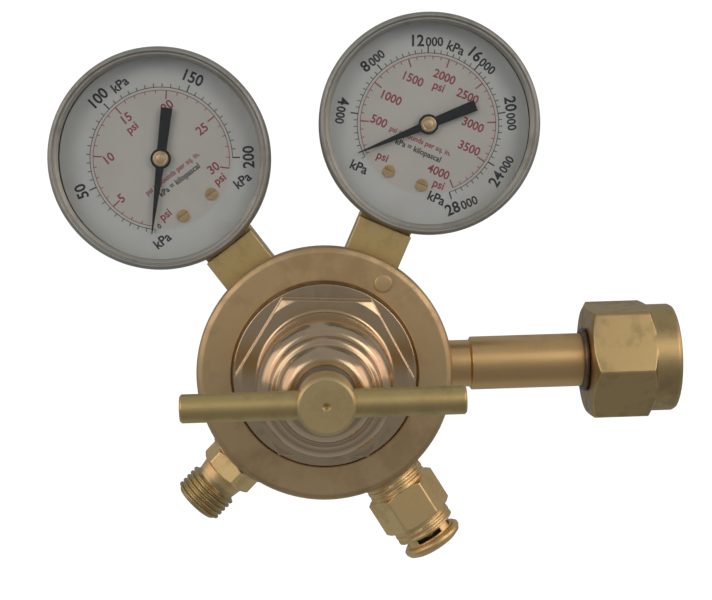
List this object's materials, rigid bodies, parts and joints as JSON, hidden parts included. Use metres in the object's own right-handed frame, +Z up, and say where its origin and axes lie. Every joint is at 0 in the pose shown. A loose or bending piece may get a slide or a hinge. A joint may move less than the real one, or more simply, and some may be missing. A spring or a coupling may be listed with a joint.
{
  "type": "gas cylinder pressure regulator",
  "caption": "Brass gas cylinder pressure regulator: bell bonnet with tee-bar adjusting screw, cylinder and delivery gauges, cylinder nut, threaded hose outlet and relief valve.",
  "frame": {"origin": "on the inlet axis, at the front end of the straight seating land of the inlet nipple's nose", "axes": "+X along the inlet, out of the cylinder nut; -Y to the front, where the dials and the adjusting screw face; +Z up, between the two gauges"},
  "size_m": [0.1902, 0.0998, 0.1676],
  "materials": {
    "forged_brass": "sand-cast satin",
    "polished_brass": "polished",
    "machined_brass": "machined satin",
    "satin_brass": "satin bar stock",
    "drawn_brass": "drawn tube",
    "nut_brass": "machined satin, handled",
    "stem_brass": "satin bar stock",
    "bright_brass": "bright turned",
    "case_steel": "brushed, warm grey",
    "zinc_steel": "zinc plated",
    "bright_steel": "bright ground",
    "spring_steel": "oiled spring wire",
    "clear_lens": "clear moulded window",
    "low_dial_print": "printed matt enamel",
    "high_dial_print": "printed matt enamel",
    "pointer_black": "matt black",
    "black_rubber": "moulded rubber",
    "seat_plastic": "moulded",
    "sintered_bronze": "sintered, porous"
  },
  "bodies": {
    "regulator": {"body": "forged_brass", "bonnet": "polished_brass", "slip_ring": "zinc_steel", "diaphragm": "black_rubber", "nozzle": "machined_brass", "adjusting_spring": "spring_steel", "seat_spring": "spring_steel", "inlet_filter": "sintered_bronze", "inlet_nipple": "drawn_brass", "outlet_fitting": "machined_brass", "relief_body": "machined_brass", "relief_cap": "machined_brass", "relief_spring": "spring_steel", "low_case": "case_steel", "low_bezel": "case_steel", "low_lens": "clear_lens", "low_dial": "low_dial_print", "low_dial_screws": "bright_brass", "low_stem": "stem_brass", "low_bourdon_tube": "machined_brass", "low_movement_frame": "machined_brass", "low_hairspring": "spring_steel", "high_case": "case_steel", "high_bezel": "case_steel", "high_lens": "clear_lens", "high_dial": "high_dial_print", "high_dial_screws": "bright_brass", "high_stem": "stem_brass", "high_bourdon_tube": "machined_brass", "high_movement_frame": "machined_brass", "high_hairspring": "spring_steel"},
    "button": {"spring_button": "zinc_steel", "thrust_ball": "bright_steel"},
    "screw": {"adjusting_screw": "machined_brass", "tee_bar": "satin_brass"},
    "valve": {"lower_spring_plate": "zinc_steel", "diaphragm_pusher": "machined_brass", "valve_stem": "bright_steel", "valve_seat": "seat_plastic"},
    "nut_ring": {"nut_retaining_ring": "black_rubber"},
    "inlet_nut": {"inlet_nut": "nut_brass"},
    "relief_poppet": {"relief_poppet": "machined_brass", "relief_seal": "black_rubber"},
    "low_pointer": {"low_pinion": "bright_brass", "low_pointer": "pointer_black"},
    "low_sector": {"low_sector_gear": "machined_brass"},
    "low_link": {"low_link": "machined_brass"},
    "high_pointer": {"high_pinion": "bright_brass", "high_pointer": "pointer_black"},
    "high_sector": {"high_sector_gear": "machined_brass"},
    "high_link": {"high_link": "machined_brass"}
  },
  "joints": [
    {"name": "adjusting_feed", "type": "slide", "parent": "regulator", "child": "button", "axis": [0, 1, 0], "range_m": [0, 0.00873], "deforming": ["adjusting_spring"]},
    {"name": "screw_turn", "type": "hinge", "parent": "button", "child": "screw", "pos_m": [-0.097, 0, 0], "axis": [0, 1, 0], "range_deg": [0, 1980]},
    {"name": "valve_lift", "type": "slide", "parent": "regulator", "child": "valve", "axis": [0, 1, 0], "range_m": [0, 0.0008], "stiffness_N_per_m": 1500, "deforming": ["diaphragm", "seat_spring"]},
    {"name": "nut_slide", "type": "slide", "parent": "regulator", "child": "nut_ring", "axis": [-1, 0, 0], "range_m": [0, 0.02]},
    {"name": "nut_spin", "type": "hinge", "parent": "nut_ring", "child": "inlet_nut", "pos_m": [0, 0, 0], "axis": [1, 0, 0], "continuous": true},
    {"name": "relief_lift", "type": "slide", "parent": "regulator", "child": "relief_poppet", "axis": [0.5075, 0, -0.8616], "range_m": [0, 0.0015], "stiffness_N_per_m": 2000, "springref_m": -0.001, "deforming": ["relief_spring"]},
    {"name": "low_pointer_turn", "type": "hinge", "parent": "regulator", "child": "low_pointer", "pos_m": [-0.14502, 0.004, 0.0661], "axis": [0, 1, 0], "range_deg": [0, 270], "stiffness_Nm_per_rad": 0.0004, "deforming": ["low_bourdon_tube", "low_hairspring"]},
    {"name": "low_sector_turn", "type": "hinge", "parent": "regulator", "child": "low_sector", "pos_m": [-0.13885, 0.004, 0.0576], "axis": [0, 1, 0], "range_deg": [-41.6, 0]},
    {"name": "low_link_turn", "type": "hinge", "parent": "low_sector", "child": "low_link", "pos_m": [-0.1321, 0.004, 0.05944], "axis": [0, 1, 0], "range_deg": [0, 41.6]},
    {"name": "high_pointer_turn", "type": "hinge", "parent": "regulator", "child": "high_pointer", "pos_m": [-0.06286, 0.004, 0.07423], "axis": [0, 1, 0], "range_deg": [0, 270], "stiffness_Nm_per_rad": 0.0004, "deforming": ["high_bourdon_tube", "high_hairspring"]},
    {"name": "high_sector_turn", "type": "hinge", "parent": "regulator", "child": "high_sector", "pos_m": [-0.06725, 0.004, 0.06469], "axis": [0, 1, 0], "range_deg": [-41.6, 0]},
    {"name": "high_link_turn", "type": "hinge", "parent": "high_sector", "child": "high_link", "pos_m": [-0.06234, 0.004, 0.0597], "axis": [0, 1, 0], "range_deg": [0, 41.6]}
  ],
  "couplings": [
    {"joint": "screw_turn", "follows": "adjusting_feed", "rad_per_m": 3957.9},
    {"joint": "low_sector_turn", "follows": "low_pointer_turn", "ratio": -0.15385},
    {"joint": "low_link_turn", "follows": "low_pointer_turn", "ratio": 0.15385},
    {"joint": "high_sector_turn", "follows": "high_pointer_turn", "ratio": -0.15385},
    {"joint": "high_link_turn", "follows": "high_pointer_turn", "ratio": 0.15385}
  ]
}
